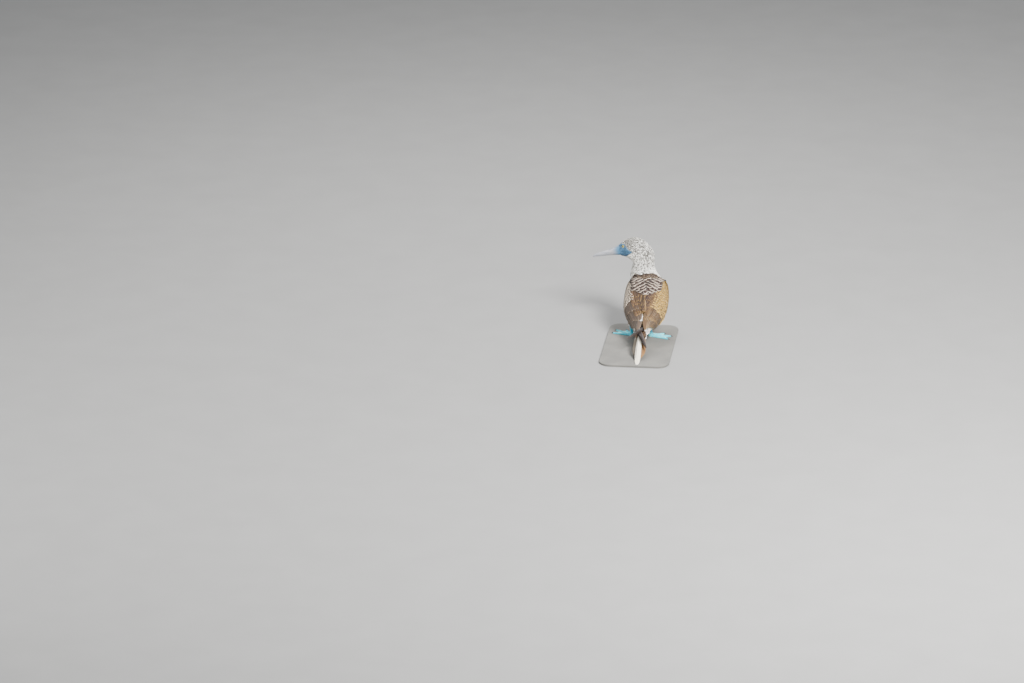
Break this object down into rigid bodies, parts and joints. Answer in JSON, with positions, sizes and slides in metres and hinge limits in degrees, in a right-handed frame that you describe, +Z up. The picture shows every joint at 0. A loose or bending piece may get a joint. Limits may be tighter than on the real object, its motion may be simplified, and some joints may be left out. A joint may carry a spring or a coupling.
{
  "type": "blue-footed booby model",
  "caption": "Life-size still model of a standing blue-footed booby looking back over its left side, on a plain board",
  "frame": {"origin": "middle of the bounding box, on the underside of the board that the bird stands on", "axes": "+Z up; the bird's body faces -Y and its tail points along +Y; +X is the bird's left, where the bill points"},
  "size_m": [0.336, 0.522, 0.3546],
  "materials": {
    "white_plumage": "soft white body feathers",
    "streaked_plumage": "pale narrow feathers with dense dark brown streaks",
    "wing_feathers": "brown folded wing feathers with paler edges",
    "tail_feathers": "grey-brown tail feathers, the middle ones white",
    "bill_horn": "grey-blue horn, satin, finely grooved",
    "blue_skin": "bright turquoise scaled skin, slightly damp",
    "eye": "glossy eye with a pale yellow iris",
    "claw_horn": "dark grey horn",
    "stand_paint": "mid-grey paint, matt, rubbed flat, on a thin board"
  },
  "bodies": {
    "root": {"torso": "white_plumage", "neck": "streaked_plumage", "head": "streaked_plumage", "bill_upper": "bill_horn", "bill_lower": "bill_horn", "eye_left": "eye", "eye_right": "eye", "wing_left": "wing_feathers", "wing_right": "wing_feathers", "tail": "tail_feathers", "thigh_left": "white_plumage", "thigh_right": "white_plumage", "tarsus_left": "blue_skin", "tarsus_right": "blue_skin", "foot_left": "blue_skin", "foot_right": "blue_skin", "claw_left_1": "claw_horn", "claw_left_2": "claw_horn", "claw_left_3": "claw_horn", "claw_left_4": "claw_horn", "claw_right_1": "claw_horn", "claw_right_2": "claw_horn", "claw_right_3": "claw_horn", "claw_right_4": "claw_horn", "stand_board": "stand_paint"}
  },
  "joints": []
}
